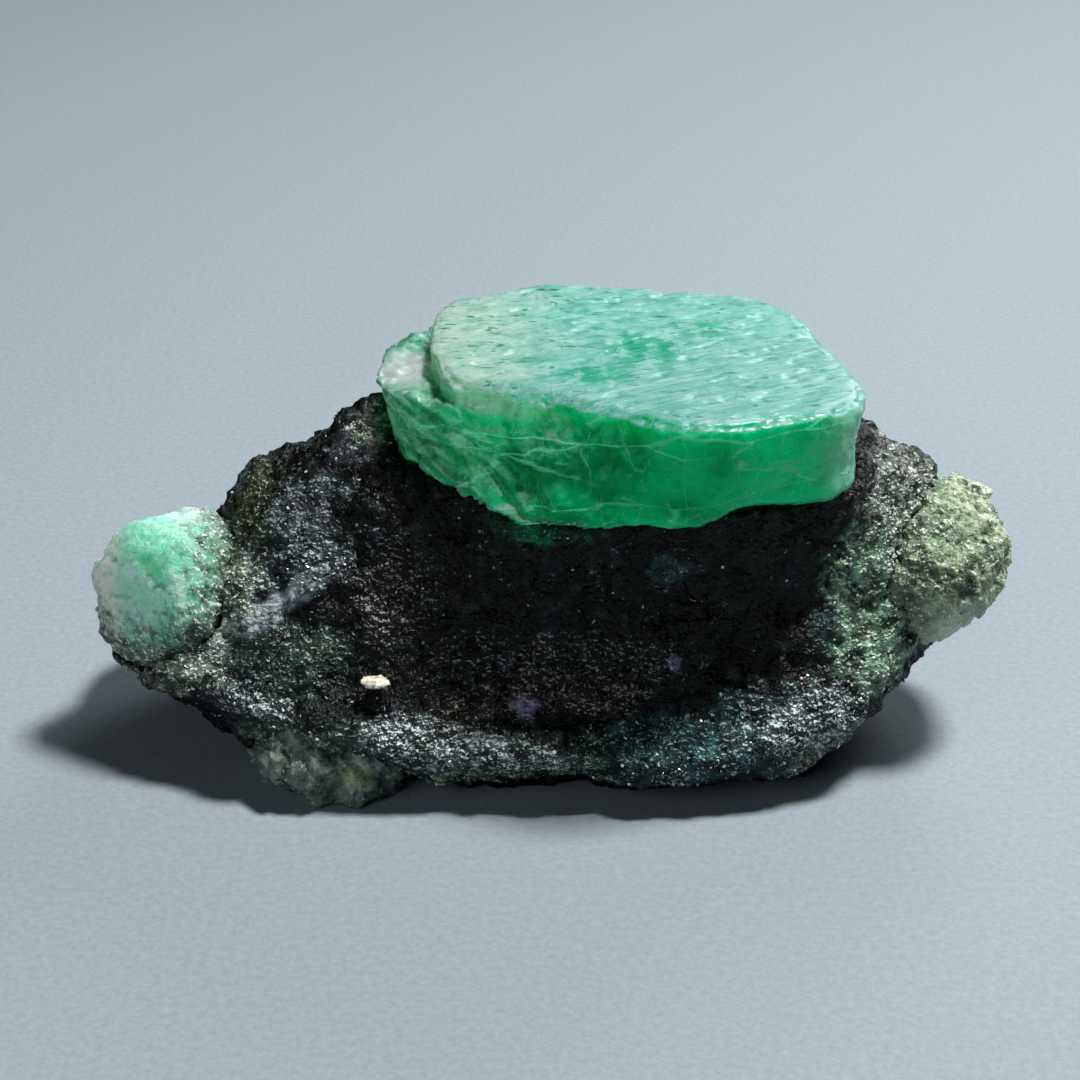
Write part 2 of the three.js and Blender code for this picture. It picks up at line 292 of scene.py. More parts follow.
GLINT_SIDE = (0.16, 0.1, 0.2)  # the side of each bump that gets a painted glint, and how wide it is, in bump sizes
GLINT_CLUSTER = 2.6  # how many bumps across a cluster of painted glints is


def grain_tree():
    """Crystalline grain: two values for each grain, how near its middle is, and how high its faces stand."""
    tree, nodes, given, out = new_tree(
        "Grain", "ShaderNodeTree",
        [("Place", "Vector", None), ("Size", "Float", 0.5), ("Bend", "Float", 0.5), ("Seed", "Float", 0.0)],
        [("Value", "Float"), ("Second", "Float"), ("Middle", "Float"), ("Height", "Float")],
    )
    cells, height = nodes.facets(nodes.shifted(given["Place"], x=given["Seed"]), given["Size"], given["Bend"])
    random = nodes.axes(cells["Color"])
    middle = nodes.step(cells["Distance"], 0.5, 0.1)
    put_out(nodes, out, Value=random[0], Second=random[1], Middle=middle, Height=height)
    return tree


def mica_tree():
    """Bumpy mica: painted glints on the side of each small bump that faces the light, lighter and darker
    haze, and the bumps.
    """
    tree, nodes, given, out = new_tree(
        "Bumpy mica", "ShaderNodeTree",
        [("Place", "Vector", None), ("Size", "Float", 0.4), ("Share", "Float", 0.5), ("Seed", "Float", 0.0)],
        [("Glint", "Float"), ("Haze", "Float"), ("Height", "Float")],
    )
    moved = nodes.shifted(given["Place"], y=given["Seed"])
    aside = nodes.vector("ADD", moved, nodes.scaled(GLINT_SIDE, given["Size"]))
    here = nodes.noise(moved, given["Size"], detail=2.0, roughness=0.6)
    there = nodes.noise(aside, given["Size"], detail=2.0, roughness=0.6)
    cloud = nodes.noise(moved, nodes.times(given["Size"], GLINT_CLUSTER), seed=1, detail=4.0, roughness=0.65)
    lit = nodes.plus(nodes.minus(here, there), nodes.times(given["Share"], 0.1))
    lit = nodes.plus(lit, nodes.times(nodes.minus(cloud, 0.5), 0.3))
    # painted highlight: the glint mask lights the side of each bump that faces the light
    glint = nodes.step(lit, 0.13, 0.2)
    haze = nodes.step(cloud, 0.38, 0.64, 0.2, 1.8)
    put_out(nodes, out, Glint=glint, Haze=haze, Height=nodes.times(here, 6.0))
    return tree


def crack_tree():
    """Healed cracks: thin bending lines where broken cells meet."""
    tree, nodes, given, out = new_tree(
        "Cracks", "ShaderNodeTree",
        [("Place", "Vector", None), ("Size", "Float", 2.0), ("Width", "Float", 0.03), ("Bend", "Float", 1.5),
         ("Seed", "Float", 0.0)],
        [("Line", "Float")],
    )
    moved = nodes.shifted(given["Place"], x=given["Seed"])
    bend = nodes.add("ShaderNodeTexNoise", {"Vector": moved, "Scale": 0.5, "Detail": 5.0, "Roughness": 0.6})
    pushed = nodes.scaled(nodes.centred(bend.outputs["Color"]), given["Bend"])
    cells = nodes.cells(nodes.vector("ADD", moved, pushed), given["Size"], feature="DISTANCE_TO_EDGE")
    near = nodes.step(cells.outputs["Distance"], given["Width"], 0.0)
    broken = nodes.step(bend.outputs[0], 0.4, 0.52)
    put_out(nodes, out, Line=nodes.times(near, broken))
    return tree


GRAIN = grain_tree()
MICA = mica_tree()
CRACKS = crack_tree()

# ---- Materials ----


def new_material(name):
    """A material with its Principled shader and the place on the object in millimetres."""
    material = bpy.data.materials.new(name)
    material.use_nodes = True
    material.node_tree.nodes.clear()
    nodes = Nodes(material.node_tree)
    shader = nodes.add("ShaderNodeBsdfPrincipled")
    surface = nodes.add("ShaderNodeOutputMaterial", {"Surface": shader.outputs[0]})
    metres = nodes.add("ShaderNodeTexCoord").outputs["Object"]
    place = nodes.add("ShaderNodeMapping", {"Vector": metres, "Scale": (1 / MM,) * 3}).outputs[0]
    return material, nodes, shader, surface, place


def set_plain(shader, **values):
    """Plain numbers on the shader's own sockets. Names are given with _ for each space."""
    for name, value in values.items():
        shader.inputs[name.replace("_", " ")].default_value = value


def link_looks(nodes, shader, base, roughness, height, depth):
    """Joins colour, roughness and a bump of `depth` millimetres to the shader."""
    bump = nodes.add("ShaderNodeBump", {"Height": height, "Distance": depth * MM, "Strength": 1.0})
    for socket, name in ((base, "Base Color"), (roughness, "Roughness"), (bump.outputs[0], "Normal")):
        nodes.tree.links.new(socket, shader.inputs[name])


# Each finish of the schist: its ovals, its dark colour, the colour of the painted glints on its crests and
# specks, how fully it covers the black, and how many of the painted glints show.
SCHIST_FINISHES = [
    (SPARSE_OVALS, (0.006, 0.007, 0.007), (0.44, 0.42, 0.44), 0.8, 0.5),
    (SHARD_OVALS, (0.0, 0.075, 0.03), (0.05, 0.6, 0.3), 0.9, 0.4),
    (DEEP_GREEN_OVALS, (0.014, 0.034, 0.024), (0.42, 0.52, 0.46), 0.9, 0.42),
    (WRINKLED_OVALS, (0.027, 0.04, 0.042), (0.46, 0.56, 0.57), 0.9, 0.58),
    (TEAL_OVALS, (0.01, 0.048, 0.047), (0.52, 0.76, 0.77), 0.95, 0.4),
    (TEAL_SPOT_OVALS, (0.015, 0.045, 0.042), (0.3, 0.45, 0.42), 0.7, 0.3),
    (SHOULDER_OVALS, (0.12, 0.145, 0.125), (0.75, 0.78, 0.74), 0.9, 0.6),
    (OLIVE_OVALS, (0.022, 0.034, 0.016), (0.3, 0.34, 0.22), 0.85, 0.5),
    (BERYL_OVALS, (0.12, 0.23, 0.15), (0.66, 0.78, 0.68), 0.9, 0.6),
    (BROWN_RIM_OVALS, (0.07, 0.083, 0.062), (0.57, 0.64, 0.55), 0.9, 0.65),
    (FOOT_EDGE_OVALS, (0.05, 0.08, 0.062), (0.5, 0.6, 0.54), 0.85, 0.5),
    (GREY_OVALS, (0.05, 0.06, 0.066), (0.3, 0.34, 0.36), 0.85, 0.5),
    (LEDGE_RUST_OVALS, (0.015, 0.011, 0.009), (0.41, 0.36, 0.32), 0.8, 0.6),
    # silvery mica, partly painted light: a bright colour and many painted glints where the ledge faces the
    # light
    (SILVER_AND_LIT_OVALS, (0.045, 0.065, 0.063), (0.67, 0.79, 0.8), 0.95, 0.9),
    (PALE_RIM_OVALS, (0.07, 0.12, 0.075), (0.6, 0.7, 0.6), 0.8, 0.8),
    (LILAC_OVALS, (0.2, 0.18, 0.3), (0.56, 0.54, 0.66), 0.75, 0.8),
    # flat grey mica face, partly painted sheen
    (SHEEN_STREAK_OVALS, (0.25, 0.3, 0.32), (0.5, 0.57, 0.6), 0.95, 0.25),
    (CREAM_OVALS, (0.12, 0.155, 0.12), (0.68, 0.75, 0.67), 0.8, 0.75),
]

SCHIST_LEAN = 16  # degrees that its folds rise to the right


def schist_material():
    """Black mica schist with painted glints on bump crests and specks, and patches of the other finishes."""
    material, nodes, shader, _, place = new_material("black mica schist")
    wander = nodes.noise(place, 1.5, seed=4)
    patch = nodes.step(nodes.noise(place, 1.3, seed=33, detail=3.0, roughness=0.6), 0.54, 0.66)
    dark = nodes.mix(patch, (0.0006, 0.0011, 0.001), (0.013, 0.015, 0.0155))
    # the colour of the painted glints where no finish covers the black
    light = (0.34, 0.38, 0.37)
    shine = nodes.step(wander, 0.52, 0.72, 0.0, 0.45)
    for ovals, zone_dark, zone_glint_colour, strength, zone_shine in SCHIST_FINISHES:
        cover = covered(nodes, place, ovals, wander)
        dark = nodes.mix(nodes.times(cover, strength), dark, zone_dark)
        light = nodes.mix(cover, light, zone_glint_colour)
        shine = nodes.step(cover, 0.0, 1.0, shine, zone_shine)
    along = nodes.stretched(nodes.turned(place, SCHIST_LEAN), 0.85, 0.9, 1.1)
    mica = nodes.group(MICA, Place=along, Size=0.34, Share=shine, Seed=3.0)
    grain = nodes.group(GRAIN, Place=place, Size=0.32, Bend=0.9, Seed=0.0)
    # painted glints: white specks on some grain cells and on the crests of the bumps
    glint_speck = nodes.times(nodes.step(grain["Value"], 0.68, 0.8), grain["Middle"])
    bright = nodes.math("MAXIMUM", nodes.times(mica["Glint"], 0.85), nodes.times(glint_speck, shine))
    shown = nodes.times(bright, nodes.step(shine, 0.0, 0.6))
    base = nodes.mix(shown, nodes.scaled(dark, mica["Haze"]), light)
    roughness = nodes.step(grain["Second"], 0.0, 1.0, 0.2, 0.5)
    height = nodes.plus(nodes.times(grain["Height"], 0.5), mica["Height"])
    link_looks(nodes, shader, base, roughness, height, 0.07)
    set_plain(shader, Specular_IOR_Level=0.22)
    return material


def mica_material(name, dark, light, metallic):
    """Glossy plates, each a shade between dark and light."""
    material, nodes, shader, _, place = new_material(name)
    cells = nodes.axes(nodes.cells(place, 0.5).outputs["Color"])
    base = nodes.mix(cells[0], dark, light)
    roughness = nodes.step(cells[1], 0.0, 1.0, 0.14, 0.45)
    link_looks(nodes, shader, base, roughness, nodes.noise(place, 0.2, detail=1.0), 0.01)
    set_plain(shader, Metallic=metallic, Coat_Weight=0.3, Coat_Roughness=0.15)
    return material


# Greener windows on the crystal's top, and deep soft zones in its side.
WINDOW_OVALS = [
    ((6.4, -0.8, 26), (2.6, 2.8, 3), 0),
    ((3.4, -5.2, 26), (2.2, 1.5, 3), 0),
    ((11, 3, 26), (1.8, 1.4, 3), 0),
]
DEEP_ZONE_OVALS = [
    ((2.4, -11.2, 22.8), (4.8, 3, 2.2), 0),
    ((11, -13.5, 23.4), (1.1, 3, 0.9), 0),
    ((1.6, -12, 19.8), (1, 3, 0.8), 0),
    ((18.6, -9.7, 21.6), (1.8, 3, 1.4), 0),
]
BRIGHT_ZONE_OVALS = [((14.8, -12.4, 22.4), (4.4, 4, 2.6), 0)]
CRUST_OVALS = [((-8.6, 0.4, 24.4), (1.7, 2.8, 1.2), 0)]
# Where each finish of the crystal fades in, in millimetres: both ends and the blades from the left, the front
# with its painted sheen towards the viewer, the shelf and the high left by height, and the painted line of
# light along the lip above the underside.
PALE_END_FADE = (9.5, 1.5)
THIN_END_FADE = (18.5, 21.5)
BLADES_FADE = (11.8, 6.2)
FRONT_SHEEN_FADE = (6.0, 14.0)
SHELF_FADE = (25.5, 25.2)
HIGH_FADE = (24.2, 24.9)
LEFT_FADE = (1.5, -3.0)
LIP_LIGHT_FADE = (1.2, 0.5)
# Degrees that patterns are turned by: growth lines about Z, thin blades and long cracks about Y.
GROWTH_TURN = -27
BLADE_TURN = -30
CRACK_TURN = 4


def emerald_material():
    """Half see-through green, cloudy inside, with a frosted and finely lined top."""
    material, nodes, shader, surface, place = new_material("emerald")
    x, y, z = nodes.axes(place)
    on_top = nodes.step(nodes.upward(), 0.4, 0.85)
    cloud = nodes.noise(place, 5.0, seed=1, detail=3.0)
    mottle = nodes.noise(place, 1.2, seed=14, detail=5.0, roughness=0.68)
    lines = growth_lines(nodes, place)
    cracks = healed_cracks(nodes, place)
    top = emerald_top(nodes, place, x, y, z, cloud, mottle, lines)
    side = emerald_side(nodes, place, x, y, z, cloud, mottle, cracks)
    base = nodes.mix(on_top, side, top)
    roughness = nodes.plus(nodes.times(on_top, 0.2), nodes.step(mottle, 0.25, 0.75, 0.1, 0.34))
    height = nodes.times(lines, nodes.times(on_top, 2.0))
    height = nodes.plus(nodes.plus(height, mottle), nodes.times(cracks, 0.3))
    link_looks(nodes, shader, base, roughness, height, 0.09)
    nodes.tree.links.new(nodes.times(on_top, 0.5), shader.inputs["Coat Weight"])
    set_plain(shader, IOR=1.58, Specular_IOR_Level=0.12, Transmission_Weight=0.5, Subsurface_Weight=0.4,
              Subsurface_Radius=(1.0, 1.0, 1.0), Subsurface_Scale=5.0 * MM, Coat_Roughness=0.28,
              Specular_Tint=(0.15, 0.8, 0.5, 1))
    tint = nodes.add("ShaderNodeVolumeAbsorption", {"Color": (0.0, 0.975, 0.86, 1), "Density": 1200.0})
    nodes.tree.links.new(tint.outputs[0], surface.inputs["Volume"])
    return material


def emerald_top(nodes, place, x, y, z, cloud, mottle, lines):
    """The top: cloudy and pale at the left, mint in the middle, and a painted silvery sheen at the right and
    along the front.
    """
    top = nodes.ramp(mottle, (0.34, (0.08, 0.5, 0.4)), (0.5, (0.24, 0.65, 0.59)), (0.66, (0.42, 0.8, 0.75)))
    pale = nodes.ramp(mottle, (0.34, (0.32, 0.62, 0.5)), (0.5, (0.52, 0.77, 0.68)), (0.66, (0.7, 0.87, 0.8)))
    left_end = nodes.step(nodes.plus(x, nodes.times(cloud, 14)), *PALE_END_FADE)
    top = nodes.mix(left_end, top, pale)
    forward = nodes.minus(nodes.times(x, 0.35), y)
    front = nodes.step(nodes.plus(forward, nodes.times(cloud, 10)), *FRONT_SHEEN_FADE)
    # painted sheen: silvery growth lines along the front and right, partly real lines and partly painted
    # reflection
    silver = nodes.ramp(lines, (0.4, (0.12, 0.48, 0.42)), (0.5, (0.24, 0.58, 0.55)), (0.6, (0.4, 0.7, 0.7)))
    top = nodes.mix(nodes.times(front, 0.75), top, silver)
    windows = nodes.times(covered(nodes, place, WINDOW_OVALS, mottle, 0.5), nodes.step(mottle, 0.6, 0.46))
    top = nodes.mix(windows, top, (0.02, 0.46, 0.3))
    dashes = nodes.noise(nodes.stretched(place, 0.3, 0.8, 1), 0.3, seed=31, detail=3.0, roughness=0.6)
    top = nodes.mix(nodes.step(dashes, 0.4, 0.34, 0.0, 0.9), top, (0.0, 0.24, 0.16))
    flat = nodes.stretched(place, 1, 0.7, 0.1)
    crossing = nodes.group(CRACKS, Place=flat, Size=1.5, Width=0.035, Bend=0.6, Seed=14.0)["Line"]
    top = nodes.mix(nodes.times(crossing, nodes.times(front, 0.5)), top, (0.02, 0.36, 0.28))
    shelf = nodes.ramp(mottle, (0.36, (0.03, 0.24, 0.13)), (0.5, (0.16, 0.48, 0.34)),
                       (0.62, (0.45, 0.7, 0.58)))
    top = nodes.mix(nodes.step(z, *SHELF_FADE), top, shelf)
    crust = covered(nodes, place, CRUST_OVALS, mottle)
    return nodes.mix(crust, top, (0.62, 0.68, 0.7))


def emerald_side(nodes, place, x, y, z, cloud, mottle, cracks):
    """The sides: saturated green with darker zones, paler where the crystal thins out, and a painted line of
    light along the lip above the underside.
    """
    side = nodes.ramp(cloud, (0.34, (0.0, 0.36, 0.11)), (0.5, (0.0, 0.7, 0.25)), (0.64, (0.0, 1.0, 0.42)))
    deep = covered(nodes, place, DEEP_ZONE_OVALS, mottle, 0.7)
    side = nodes.mix(nodes.times(deep, 0.6), side, (0.0, 0.24, 0.09))
    bright = covered(nodes, place, BRIGHT_ZONE_OVALS, cloud, 0.6)
    side = nodes.mix(nodes.times(bright, 0.7), side, (0.0, 1.0, 0.46))
    side = nodes.mix(nodes.step(mottle, 0.52, 0.68, 0.0, 0.3), side, (0.0, 0.16, 0.06))
    right_end = nodes.step(nodes.plus(x, nodes.times(cloud, 5)), *THIN_END_FADE)
    thin = nodes.mix(mottle, (0.2, 0.74, 0.5), (0.6, 1.0, 0.86))
    side = nodes.mix(nodes.times(right_end, 0.8), side, thin)
    flat = nodes.stretched(nodes.turned(place, BLADE_TURN), 0.1, 0.25, 1)
    layers = nodes.noise(flat, 0.45, seed=24, detail=3.0)
    from_left = nodes.plus(nodes.plus(x, nodes.times(z, 0.5)), nodes.times(cloud, 6))
    at_left = nodes.step(from_left, *BLADES_FADE)
    blades = nodes.ramp(layers, (0.38, (0.03, 0.3, 0.16)), (0.52, (0.12, 0.56, 0.36)),
                        (0.6, (0.46, 0.88, 0.68)))
    side = nodes.mix(nodes.times(at_left, 0.9), side, blades)
    high_left = nodes.times(nodes.step(z, *HIGH_FADE), nodes.step(x, *LEFT_FADE))
    side = nodes.mix(nodes.times(high_left, 0.8), side, (0.4, 0.75, 0.55))
    # painted light: a brighter green line just above the underside, where light comes through the crystal's
    # lower edge
    painted_lip_light = nodes.step(nodes.plus(above_underside(nodes, x, y, z), nodes.times(mottle, 0.8)), *LIP_LIGHT_FADE)
    side = nodes.mix(nodes.times(painted_lip_light, 0.45), side, (0.02, 0.8, 0.4))
    return nodes.mix(nodes.times(cracks, 0.9), side, (0.22, 1.0, 0.68))


def growth_lines(nodes, place):
    """Fine growth lines that run along the crystal's right front edge."""
    long = nodes.stretched(nodes.turned(place, GROWTH_TURN, "Z"), 0.12, 1, 1)
    return nodes.noise(long, 0.34, seed=6, detail=4.0, roughness=0.6, distortion=0.4)


def healed_cracks(nodes, place):
    """Long cracks that run nearly level along the side, and faint ones that stand between them."""
    flat = nodes.stretched(nodes.turned(place, CRACK_TURN), 0.22, 0.22, 1)
    level = nodes.group(CRACKS, Place=flat, Size=2.6, Width=0.03, Bend=1.4, Seed=3.0)["Line"]
    tall = nodes.stretched(place, 0.9, 0.5, 0.4)
    upright = nodes.group(CRACKS, Place=tall, Size=3.0, Width=0.018, Bend=1.8, Seed=9.0)["Line"]
    return nodes.math("MAXIMUM", level, nodes.times(upright, 0.5))


# The crystal's underside: its lowest point, how steeply it rises sideways and backwards, and its top level.
UNDERSIDE_LOWEST = (-1.3, -12.4, 18.4)
UNDERSIDE_RISE = (0.12, 0.24)
UNDERSIDE_HIGHEST = 20.1


def above_underside(nodes, x, y, z):
    """Height above the crystal's leaning underside at its front."""
    low_x, low_y, low_z = UNDERSIDE_LOWEST
    across = nodes.times(nodes.math("ABSOLUTE", nodes.plus(x, -low_x)), UNDERSIDE_RISE[0])
    back = nodes.times(nodes.plus(y, -low_y), UNDERSIDE_RISE[1])
    lowest = nodes.math("MINIMUM", nodes.plus(nodes.plus(across, back), low_z), UNDERSIDE_HIGHEST)
    return nodes.minus(z, lowest)


PALE_CLEAR_OVALS = [((-25.9, -5, 13.2), (4.3, 8, 4), 0)]
WHITE_EDGE_FADE = (-24.6, -26.4)  # along X, where the left edge whitens, partly its own cream and partly painted light
TOP_HIGHLIGHT_FADE = (-3.5, -1.5)  # along Y, where the painted highlight on the top sets in


def pale_emerald_material():
    """Milky green; its left edge whiter, partly its own cream and partly painted light; a painted highlight
    at the back of its top; inside a granular mica rim with painted glints.
    """
    material, nodes, shader, _, place = new_material("pale emerald")
    x, y, _ = nodes.axes(place)
    upward = nodes.upward()
    cloud = nodes.noise(place, 2.2, seed=3, detail=4.0)
    mottle = nodes.noise(place, 0.7, seed=17, detail=4.0, roughness=0.7)
    base = nodes.ramp(cloud, (0.3, (0.24, 0.76, 0.52)), (0.5, (0.48, 0.94, 0.75)), (0.7, (0.72, 1.0, 0.88)))
    base = nodes.mix(nodes.step(mottle, 0.54, 0.72, 0.0, 0.3), base, (0.85, 0.97, 0.9))
    base = nodes.mix(nodes.step(mottle, 0.46, 0.32, 0.0, 0.5), base, (0.08, 0.45, 0.26))
    # partly painted light: the left edge is whitened beyond its own cream, standing in for light through the
    # crystal
    edge = nodes.step(nodes.plus(x, nodes.times(cloud, 3)), *WHITE_EDGE_FADE)
    base = nodes.mix(nodes.times(edge, 0.9), base, (0.92, 1.0, 0.86))
    base = nodes.mix(nodes.step(upward, 0.3, 0.8, 0.0, 0.75), base, (0.15, 0.5, 0.36))
    # painted highlight: a pale patch on the faces that look up, towards the back
    painted_top_highlight = nodes.times(nodes.step(upward, 0.5, 0.8), nodes.step(y, *TOP_HIGHLIGHT_FADE))
    base = nodes.mix(nodes.times(painted_top_highlight, 0.6), base, (0.6, 0.8, 0.76))
    # granular rim with painted glints from the bumpy mica
    mica = nodes.group(MICA, Place=place, Size=0.45, Share=0.7, Seed=5.0)
    rim = nodes.mix(mica["Glint"], nodes.scaled((0.08, 0.135, 0.095), mica["Haze"]), (0.74, 0.84, 0.74))
    clear = covered(nodes, place, PALE_CLEAR_OVALS, mottle, 0.4)
    base = nodes.mix(clear, rim, base)
    height = nodes.plus(nodes.times(mottle, 3.0), mica["Height"])
    link_looks(nodes, shader, base, nodes.step(mottle, 0.3, 0.7, 0.3, 0.55), height, 0.07)
    set_plain(shader, IOR=1.58, Specular_IOR_Level=0.3, Subsurface_Weight=1.0,
              Subsurface_Radius=(0.8, 1.0, 0.9), Subsurface_Scale=3.0 * MM)
    return material


# Where a near-black spot is painted as the shade inside a small pit.
NODULE_PIT_SHADE_OVALS = [((27.1, -7.7, 12.7), (0.7, 1.4, 0.6), 0)]
CRUST_FADE = (37.0, 39.0)  # up and to the right
LOW_LIGHT_FADE = (13.0, 9.5)  # down Z, where the lower part is painted lighter
INWARD_FADE = (28.5, 26.0)  # along X, towards the schist


def nodule_material():
    """Olive grains and veins, with a cream crust high at the right, more mica towards the schist, painted
    light on its lower part, painted shade in a pit, and painted glints.
    """
    material, nodes, shader, _, place = new_material("olive granular beryl")
    x, _, z = nodes.axes(place)
    cloud = nodes.noise(place, 1.6, seed=9, detail=5.0, roughness=0.65)
    mottle = nodes.noise(place, 0.6, seed=19, detail=3.0, roughness=0.65)
    base = nodes.ramp(cloud, (0.34, (0.03, 0.06, 0.03)), (0.5, (0.13, 0.21, 0.115)),
                      (0.66, (0.36, 0.48, 0.31)))
    outward = nodes.plus(z, nodes.times(x, 0.6))
    crust = nodes.step(nodes.plus(outward, nodes.times(cloud, 9)), *CRUST_FADE)
    # painted light: the lower part, which faces down into shade, is painted lighter to stand in for light
    # through the stone
    base = nodes.mix(nodes.step(z, *LOW_LIGHT_FADE, 0.0, 0.6), base, (0.62, 0.76, 0.62))
    cream = nodes.mix(mottle, (0.3, 0.33, 0.21), (0.74, 0.79, 0.63))
    base = nodes.mix(nodes.times(crust, 0.75), base, cream)
    veins = nodes.group(CRACKS, Place=place, Size=0.95, Width=0.16, Bend=0.7, Seed=6.0)["Line"]
    base = nodes.mix(nodes.times(veins, 0.6), base, (0.5, 0.6, 0.4))
    inward = nodes.step(nodes.plus(x, nodes.times(cloud, 5)), *INWARD_FADE)
    mica = nodes.group(MICA, Place=place, Size=0.42, Share=0.5, Seed=11.0)
    dark = nodes.scaled((0.08, 0.12, 0.08), mica["Haze"])
    base = nodes.mix(nodes.times(inward, 0.75), base, dark)
    # painted glints from the bumpy mica
    base = nodes.mix(nodes.times(mica["Glint"], 0.75), base, (0.8, 0.88, 0.78))
    # painted shade: a near-black spot for the inside of a small pit
    pit_shade = covered(nodes, place, NODULE_PIT_SHADE_OVALS, cloud)
    base = nodes.mix(pit_shade, base, (0.02, 0.03, 0.02))
    height = nodes.plus(mica["Height"], nodes.times(mottle, 3.0))
    link_looks(nodes, shader, base, nodes.step(mottle, 0.3, 0.7, 0.25, 0.6), height, 0.09)
    set_plain(shader, Subsurface_Weight=0.5, Subsurface_Radius=(0.8, 1.0, 0.6), Subsurface_Scale=0.8 * MM)
    return material


OLIVE_SPOT_OVALS = [((-11.6, -13, 2.2), (1.0, 2.4, 0.7), 0)]


def quartz_material():
    """Cloudy grey-green with an olive spot and a little mica with painted glints."""
    material, nodes, shader, _, place = new_material("grey-green quartz")
    cloud = nodes.noise(place, 2.0, seed=12, detail=5.0, roughness=0.65)
    grain = nodes.group(GRAIN, Place=place, Size=0.8, Bend=1.0, Seed=21.0)
    base = nodes.ramp(cloud, (0.32, (0.03, 0.045, 0.036)), (0.5, (0.1, 0.15, 0.12)),
                      (0.7, (0.32, 0.42, 0.36)))
    spot = covered(nodes, place, OLIVE_SPOT_OVALS, cloud)
    base = nodes.mix(nodes.times(spot, 0.8), base, (0.24, 0.31, 0.13))
    mica = nodes.group(MICA, Place=place, Size=0.4, Share=0.4, Seed=21.0)
    base = nodes.scaled(base, nodes.step(mica["Haze"], 0.0, 1.8, 0.6, 1.3))
    # painted glints from the bumpy mica
    base = nodes.mix(nodes.times(mica["Glint"], 0.6), base, (0.5, 0.62, 0.56))
    height = nodes.plus(grain["Height"], nodes.times(cloud, 4.0))
    link_looks(nodes, shader, base, nodes.step(cloud, 0.2, 0.9, 0.3, 0.6), height, 0.12)
    set_plain(shader, Subsurface_Weight=0.5, Subsurface_Radius=(0.7, 1.0, 0.8), Subsurface_Scale=1.2 * MM)
    return material


def feldspar_material(name, dark, middle, light):
    """A stone with soft clouds of three shades."""
    material, nodes, shader, _, place = new_material(name)
    cloud = nodes.noise(place, 0.5, seed=15, detail=3.0)
    base = nodes.ramp(cloud, (0.3, dark), (0.5, middle), (0.72, light))
    link_looks(nodes, shader, base, nodes.step(cloud, 0, 1, 0.3, 0.6), nodes.noise(place, 0.3, seed=16), 0.05)
    return material


def paper_material():
    """Matt paper with fine fibres."""
    material, nodes, shader, _, place = new_material("pale paper")
    fibres = nodes.noise(place, 0.5, seed=20, detail=3.0, roughness=0.8)
    base = nodes.mix(fibres, (0.165, 0.21, 0.24), (0.32, 0.385, 0.43))
    link_looks(nodes, shader, base, nodes.step(fibres, 0, 1, 0.75, 0.9), fibres, 0.05)
    return material


# ---- Geometry trees ----


def end_tree(nodes, geometry, material, out):
    """Ends a geometry tree: plain mesh with its material."""
    real = nodes.add("GeometryNodeRealizeInstances", {0: geometry}).outputs[0]
    painted = nodes.add("GeometryNodeSetMaterial", {"Geometry": real, "Material": material}).outputs[0]
    put_out(nodes, out, Geometry=painted)


def rock_tree():
    """Breaks a skin up into lumps and flat faces, and keeps it on or above the level that it rests on."""
    tree, nodes, given, out = new_tree(
        "Broken rock", "GeometryNodeTree",
        [("Geometry", "Geometry", None), ("Lump Depth", "Float", 0.4), ("Lump Size", "Float", 3.0),
         ("Face Depth", "Float", 0.2), ("Face Size", "Float", 1.2), ("Grain Depth", "Float", 0.1),
         ("Grain Size", "Float", 0.6), ("Outward", "Float", 0.0), ("Seed", "Float", 0.0),
         ("Material", "Material", None)],
        [("Geometry", "Geometry")],
    )
    place = nodes.add("GeometryNodeInputPosition").outputs[0]
    moved = nodes.shifted(place, x=given["Seed"], y=given["Seed"])
    lumps = nodes.noise(moved, given["Lump Size"], seed=1, detail=4.0, roughness=0.6)
    lumps = nodes.times(nodes.minus(lumps, 0.5), 2.0)
    _, faces = nodes.facets(moved, given["Face Size"], 1.0)
    _, grains = nodes.facets(nodes.vector("ADD", moved, (7.0, 3.0, 5.0)), given["Grain Size"], 1.0)
    height = given["Outward"]
    for depth, pattern in (("Lump Depth", lumps), ("Face Depth", faces), ("Grain Depth", grains)):
        height = nodes.plus(height, nodes.times(given[depth], pattern))
    normal = nodes.add("GeometryNodeInputNormal").outputs[0]
    broken = nodes.axes(nodes.vector("ADD", place, nodes.scaled(normal, height)))
    level = nodes.math("MAXIMUM", broken[2], 0.0)
    target = nodes.add("ShaderNodeCombineXYZ", {0: broken[0], 1: broken[1], 2: level}).outputs[0]
    shaped = nodes.add("GeometryNodeSetPosition", {"Geometry": given["Geometry"], "Position": target})
    end_tree(nodes, shaped.outputs[0], given["Material"], out)
    return tree


RIDGE_TURN = -24  # degrees about Z that the lines and pits on the crystal's top are turned
BLADE_RANGE = (23.0, 18.5)  # where the blades set in, as height plus BLADE_SLOPE times the place along X
BLADE_SLOPE = 0.45
SHELF_RANGE = (25.4, 24.8)  # the height below which the top counts as the broken shelf


